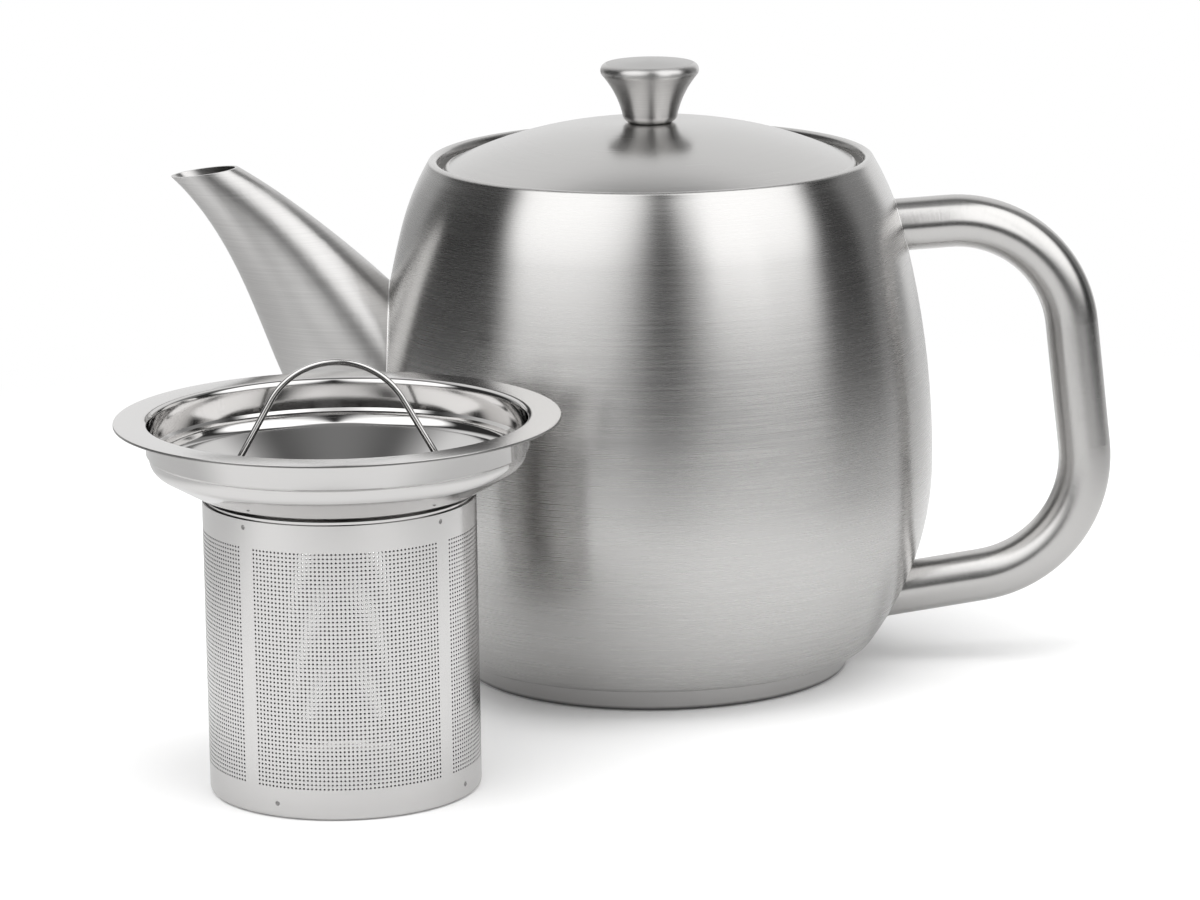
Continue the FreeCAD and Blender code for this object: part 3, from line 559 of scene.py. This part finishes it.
# Basket: four perforated panels, bent to a quarter turn each, with plain strips between
basket = dict(radius=33.9, sheet=0.5, columns=48, rows=57, columnAngle=1.738, rowPitch=1.05, firstRow=8.0,
              hole=0.56, holeSides=8, cornerShare=0.3, slack=0.01, mergeWithin=0.02, low=1.2, high=73.9,
              firstQuarter=5.15, marginSteps=3, outLevel=0.5)


def perforatedPanel():
    rowPitch, slack = basket["rowPitch"], basket["slack"]
    pitch = math.radians(basket["columnAngle"]) * basket["radius"]
    clearSelection()
    bpy.ops.mesh.primitive_circle_add(vertices=basket["holeSides"], radius=basket["hole"] / 2 * mm,
                                      location=(0, 0, 0))
    panel = bpy.context.object
    panel.name = "basketPanel"
    openMesh(panel)
    bpy.ops.mesh.extrude_region_move()  # from the hole out to a square cell
    grow = (pitch / basket["hole"], rowPitch / basket["hole"], 1)
    bpy.ops.transform.resize(value=grow, center_override=(0, 0, 0))
    bpy.ops.object.mode_set(mode="OBJECT")
    pick(panel, lambda spot: min(abs(spot.x), abs(spot.y)) > basket["cornerShare"] * pitch * mm)
    bpy.ops.transform.resize(value=(math.sqrt(2), math.sqrt(2), 1), center_override=(0, 0, 0))
    bpy.ops.object.mode_set(mode="OBJECT")
    for count, offset in ((basket["columns"], (pitch * mm, 0, 0)), (basket["rows"], (0, rowPitch * mm, 0))):
        row = panel.modifiers.new("repeat", "ARRAY")
        row.count = count
        row.use_relative_offset = False
        row.use_constant_offset = True
        row.constant_offset_displace = offset
        row.use_merge_vertices = True
        row.merge_threshold = basket["mergeWithin"] * mm
    applyAll(panel)
    panel.rotation_euler = (math.pi / 2, 0, 0)  # stands up, facing -Y
    panel.location = (-(basket["columns"] - 1) / 2 * pitch * mm, 0, basket["firstRow"] * mm)
    place(panel)
    half = basket["columns"] / 2 * pitch
    margin = math.pi / 4 * basket["radius"] - half
    for side in (-1, 1):
        pick(panel, lambda spot: spot.x * side > (half - slack) * mm)
        for step in range(basket["marginSteps"]):
            drawOut((side * margin / basket["marginSteps"], 0, 0))
    gridLow = basket["firstRow"] - rowPitch / 2
    gridHigh = gridLow + basket["rows"] * rowPitch
    pick(panel, lambda spot: spot.z < (gridLow + slack) * mm)
    drawOut((0, 0, basket["low"] - gridLow))
    pick(panel, lambda spot: spot.z > (gridHigh - slack) * mm)
    drawOut((0, 0, basket["high"] - gridHigh))
    bpy.ops.object.mode_set(mode="OBJECT")
    bend = panel.modifiers.new("bend", "SIMPLE_DEFORM")
    bend.deform_method = "BEND"
    bend.deform_axis = "Z"
    bend.angle = math.radians(90)
    applyAll(panel)
    panel.location = (0, -basket["radius"] * mm, 0)
    place(panel)
    thick = panel.modifiers.new("sheet", "SOLIDIFY")
    thick.thickness = basket["sheet"] * mm
    thick.offset = -1  # inwards
    applyAll(panel)
    smooth(panel)
    return panel


firstPanel = perforatedPanel()
panels = [firstPanel]
for number in (2, 3, 4):
    copy = ownCopy(firstPanel)
    copy.name = "basketPanel%d" % number
    panels.append(copy)
for quarter, panel in enumerate(panels):
    panel.rotation_euler = (0, 0, math.radians(basket["firstQuarter"] + 90 * quarter))
    panel.location = (infuserAxis[0] * mm, infuserAxis[1] * mm, 0)
    place(panel)
    coat(panel, basketSteel, insideShadeSteel)
    for face in panel.data.polygons:  # the hole walls and the inside get a painted shade, dark and rough
        outward = face.center.xy - Vector(infuserAxis) * mm
        face.material_index = 0 if face.normal.xy.dot(outward.normalized()) > basket["outLevel"] else 1
    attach(panel, "infuser")
    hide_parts("basket_wall")
print("basket perforated:", sum(len(panel.data.polygons) for panel in panels), "faces")


# Weld spots that hold the basket: small craters, four round the top and four round the bottom
spots = dict(radius=0.62, crest=0.4, lift=0.14, pitShare=0.5, pitDepth=0.7, sides=14, sharp=40,
             high=72.0, highStart=-131.0, low=3.7, lowStart=-117.0)


def weldSpot():
    clearSelection()
    bpy.ops.mesh.primitive_circle_add(vertices=spots["sides"], radius=spots["radius"] * mm, fill_type="NGON")
    spot = bpy.context.object
    brim = (spots["radius"] - spots["crest"], spots["lift"])
    pit = (spots["crest"] * spots["pitShare"], -spots["pitDepth"] * spots["lift"])
    for width, depth in (brim, pit):
        pickFaces(spot, lambda face: len(face.vertices) == spots["sides"])
        bpy.ops.mesh.inset(thickness=width * mm, depth=depth * mm)
    bpy.ops.object.mode_set(mode="OBJECT")
    spot.rotation_euler = (math.pi / 2, 0, math.pi / 2)  # faces +X
    spot.location = (basket["radius"] * mm, 0, 0)
    place(spot)
    return spot


firstSpot = weldSpot()
weldSpots = []
for up, start in ((spots["high"], spots["highStart"]), (spots["low"], spots["lowStart"])):
    for quarter in range(4):
        copy = ownCopy(firstSpot)
        copy.rotation_euler = (0, 0, math.radians(start + 90 * quarter))
        copy.location = (infuserAxis[0] * mm, infuserAxis[1] * mm, up * mm)
        weldSpots.append(copy)
bpy.data.objects.remove(firstSpot)
focus(weldSpots[0])
for copy in weldSpots:
    copy.select_set(True)
bpy.ops.object.join()
basketWelds = bpy.context.object
basketWelds.name = "basketWelds"
place(basketWelds)
smooth(basketWelds, spots["sharp"])
coat(basketWelds, spotSteel)
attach(basketWelds, "infuser")
print("weld spots:", len(weldSpots))


# Nodes that stay in view as they are, with their finishes
nodeFinish = dict(inner_shell=vesselSteel, mouth_ring=ringSteel, base_cap=footSteel, spout_duct=vesselSteel,
                  spout=spoutSteel, handle_tube=tubeSteel, lid_dome=lidSteel, lid_collar=vesselSteel,
                  knob_washer=vesselSteel, knob_screw=vesselSteel, basket_bottom=basketSteel,
                  bail_wire=wireSteel)
for node, material in nodeFinish.items():
    coat(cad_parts[node], material)
print("nodes coated:", len(nodeFinish))


# Floor: white paper; in reflections it is greyer towards the back left and the right, a painted shade of
# light falling off
floorLook = dict(size=1300, place=(0, 100, -0.1), middle=(20, -40, 0), seen=(1.0, 1.0, 1.0, 1),
                 mirrored=(0.78, 0.78, 0.78, 1), dim=(0.5, 0.5, 0.5, 1), dimFrom=-150, dimTo=-430,
                 rightShadeTone=(0.36, 0.36, 0.36, 1), rightFrom=90, rightTo=300, rightDim=0.6, glow=0.05,
                 whiteFrom=260, whiteTo=480)
clearSelection()
bpy.ops.mesh.primitive_plane_add(size=floorLook["size"] * mm, location=Vector(floorLook["place"]) * mm)
floor = bpy.context.object
floor.name = "floor"
place(floor)
finish = newFinish("floorPaper")
x, y, _ = axes(finish, floorLook["middle"])
cameraRay = finish.add("ShaderNodeLightPath", out="Is Camera Ray")
anyView = cameraRay + cameraRay.output("Is Glossy Ray") + cameraRay.output("Is Transmission Ray")
# painted shade: the paper seen in reflections greys towards the back left and the right
near = finish.ease(x - y, floorLook["dimTo"], floorLook["dimFrom"])
mirrored = finish.mixColour(near, floorLook["dim"], floorLook["mirrored"])
toRight = finish.ease(x, floorLook["rightFrom"], floorLook["rightTo"]) * floorLook["rightDim"]
mirrored = finish.mixColour(toRight, mirrored, floorLook["rightShadeTone"])
paperColour = finish.mixColour(cameraRay, mirrored, floorLook["seen"])
paper = finish.add("ShaderNodeBsdfDiffuse", {}, {"Color": paperColour})
glow = finish.add("ShaderNodeEmission", {}, {"Strength": finish.ease(anyView, 0, 1) * floorLook["glow"]})
lit = finish.add("ShaderNodeAddShader", {}, {0: paper, 1: glow})
white = finish.add("ShaderNodeEmission", {}, {"Strength": 1.0})
far = finish.ease(distance(x, y), floorLook["whiteFrom"], floorLook["whiteTo"]) * cameraRay
surface = finish.add("ShaderNodeMixShader", {}, {0: far, 1: lit, 2: white})
floor.data.materials.append(surfaceDone(finish, surface))

# Studio: two tall soft lights in front with a dark gap between, dark sides, a pale backdrop behind
studio = dict(base=0.038, front=1.8, leftEdge=60, rightEdge=71, edgeLean=36, edgeSoft=8,
              frontRise=(-0.1, 0.34), frontTop=(0.95, 1.0), gapAt=5.5, gapWide=24.0, gapLean=-19.0,
              gapPower=1.3, gapDark=1.0, gapTop=(0.9, 0.99), back=0.9, backTop=(0.72, 0.97),
              sideLeft=(128, 139), leftLean=45, leftGrey=0.4, backLeft=(152, 170), backLean=60,
              sideRight=(105, 119), rightGrey=0.28, backRight=(134, 148), zenith=0.25, zenithRise=(0.9, 1.0))
world = bpy.data.worlds.new("studio")
bpy.context.scene.world = world
finish = Finish(world)
toward = finish.add("ShaderNodeTexCoord")
x = finish.add("ShaderNodeSeparateXYZ", {}, {"Vector": toward})
level = x.output(2)
turn = x.sum("ARCTAN2", x, x.output(1) * -1) * math.degrees(1)  # degrees from the front to the right
fromGap = (turn - studio["gapAt"]) / (studio["gapWide"] + level * studio["gapLean"])  # narrower higher up
gap = 1 / (1 + (fromGap * fromGap) ** studio["gapPower"]) * (1 - finish.ease(level, *studio["gapTop"]))
lean, soft = level * studio["edgeLean"], studio["edgeSoft"]  # the lights are wider higher up
rightSide = finish.ease(turn - lean, studio["rightEdge"] + soft, studio["rightEdge"] - soft)
leftSide = finish.ease(turn + lean, -studio["leftEdge"] - soft, -studio["leftEdge"] + soft)
front = leftSide * rightSide * (1 - studio["gapDark"] * gap) * finish.ease(level, *studio["frontRise"])
front = front * (1 - finish.ease(level, *studio["frontTop"])) * studio["front"]
toRight = finish.ease(turn, *studio["sideRight"]) * studio["rightGrey"]  # a grey step, then the backdrop
toRight = toRight + finish.ease(turn, *studio["backRight"]) * (1 - studio["rightGrey"])
toLeft = finish.ease(level * level * studio["leftLean"] - turn, *studio["sideLeft"]) * studio["leftGrey"]
backEdge = finish.ease(level * studio["backLean"] - turn, *studio["backLeft"])
back = toRight + toLeft + backEdge * (1 - studio["leftGrey"])
back = back * (1 - finish.ease(level, *studio["backTop"])) * studio["back"]
light = studio["base"] + front + back + finish.ease(level, *studio["zenithRise"]) * studio["zenith"]
cameraRay = finish.add("ShaderNodeLightPath", out="Is Camera Ray")
strength = light * (1 - cameraRay) + cameraRay
shine = finish.add("ShaderNodeBackground", {}, {"Color": (1, 1, 1, 1), "Strength": strength})
finish.add("ShaderNodeOutputWorld", {}, {"Surface": shine})

# A soft bright card in front of the handle, which shows only in reflections
card = dict(left=62, right=230, front=-200, low=130, high=620, softLeft=38, softRight=40, softLow=50,
            softHigh=60, strength=1.8)
clearSelection()
bpy.ops.mesh.primitive_plane_add(size=1, rotation=(math.pi / 2, 0, 0))
softCard = bpy.context.object
softCard.name = "softCard"
softCard.scale = ((card["right"] - card["left"]) * mm, (card["high"] - card["low"]) * mm, 1)
cardMiddle = ((card["left"] + card["right"]) / 2, card["front"], (card["low"] + card["high"]) / 2)
softCard.location = Vector(cardMiddle) * mm
place(softCard)
finish = newFinish("softCard")
x, _, z = axes(finish)
solid = finish.ease(x, card["left"], card["left"] + card["softLeft"])
solid = solid * finish.ease(x, card["right"], card["right"] - card["softRight"])
solid = solid * finish.ease(z, card["low"], card["low"] + card["softLow"])
solid = solid * finish.ease(z, card["high"], card["high"] - card["softHigh"])
clear = finish.add("ShaderNodeBsdfTransparent")
bright = finish.add("ShaderNodeEmission", {}, {"Strength": card["strength"]})
surface = finish.add("ShaderNodeMixShader", {}, {0: solid, 1: clear, 2: bright})
softCard.data.materials.append(surfaceDone(finish, surface))
softCard.visible_camera = False
softCard.visible_diffuse = False
softCard.visible_shadow = False

# One broad lamp overhead for the floor's shadow
overhead = dict(place=(-150, -100, 1200), size=1000, power=7.1)
lampData = bpy.data.lights.new("overheadLamp", "AREA")
lampData.size = overhead["size"] * mm
lampData.energy = overhead["power"]
lamp = bpy.data.objects.new("overheadLamp", lampData)
bpy.context.scene.collection.objects.link(lamp)
lamp.location = Vector(overhead["place"]) * mm
lamp.visible_glossy = False

# Camera: looks along +Y and down by the pitch, with a small roll
view = dict(place=(-14.514, -1368.768, 363.356), pitch=0.21893, roll=-0.013566, lens=156.19, sensor=36.0,
            nearest=50)
cameraData = bpy.data.cameras.new("camera")
cameraData.lens = view["lens"]
cameraData.sensor_width = view["sensor"]
cameraData.sensor_fit = "HORIZONTAL"
cameraData.clip_start = view["nearest"] * mm
cameraObject = bpy.data.objects.new("camera", cameraData)
bpy.context.scene.collection.objects.link(cameraObject)
right = Vector((1, 0, 0))
forward = Vector((0, math.cos(view["pitch"]), -math.sin(view["pitch"])))
up = Vector((0, math.sin(view["pitch"]), math.cos(view["pitch"])))
rollCos, rollSin = math.cos(view["roll"]), math.sin(view["roll"])
cameraRight = rollCos * right + rollSin * up
cameraUp = rollCos * up - rollSin * right
pose = Matrix((cameraRight, cameraUp, -forward)).transposed().to_4x4()
pose.translation = Vector(view["place"]) * mm
cameraObject.matrix_world = pose
bpy.context.scene.camera = cameraObject
bpy.context.scene.view_settings.view_transform = "Standard"
print("stage set")
